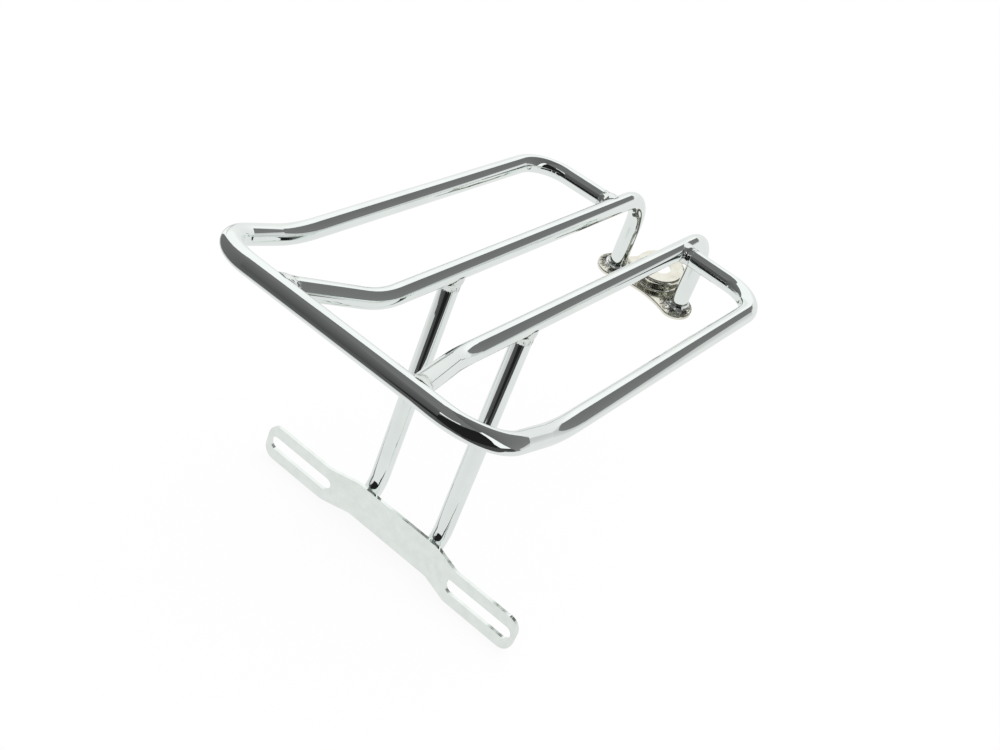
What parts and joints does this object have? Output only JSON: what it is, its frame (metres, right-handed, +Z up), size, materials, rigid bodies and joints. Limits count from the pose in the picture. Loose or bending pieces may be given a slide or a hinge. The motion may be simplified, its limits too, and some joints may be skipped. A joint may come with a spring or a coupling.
{
  "type": "motorcycle luggage rack",
  "caption": "Chromed tube luggage rack with a raised rear loop, splayed inner rails, a front bolt plate and struts carrying a slotted licence-plate bracket.",
  "frame": {"origin": "centre of the seat-bolt hole, on top of the boss of the front mount plate", "axes": "+Y forward along the machine and the level rails, +X to its right, +Z up"},
  "size_m": [0.222, 0.4247, 0.2289],
  "materials": {
    "chromed_tube": "polished",
    "chromed_sheet": "polished",
    "chromed_weld": "semi-bright"
  },
  "bodies": {
    "root": {"outer_frame": "chromed_tube", "inner_rail_left": "chromed_tube", "inner_rail_right": "chromed_tube", "strut_left": "chromed_tube", "strut_right": "chromed_tube", "front_mount_plate": "chromed_sheet", "plate_bracket": "chromed_sheet", "weld_front_left": "chromed_weld", "weld_front_right": "chromed_weld", "weld_rear_left": "chromed_weld", "weld_rear_right": "chromed_weld", "weld_strut_top_left": "chromed_weld", "weld_strut_top_right": "chromed_weld", "weld_strut_foot_left": "chromed_weld", "weld_strut_foot_right": "chromed_weld", "weld_leg_left": "chromed_weld", "weld_leg_right": "chromed_weld"}
  },
  "joints": []
}
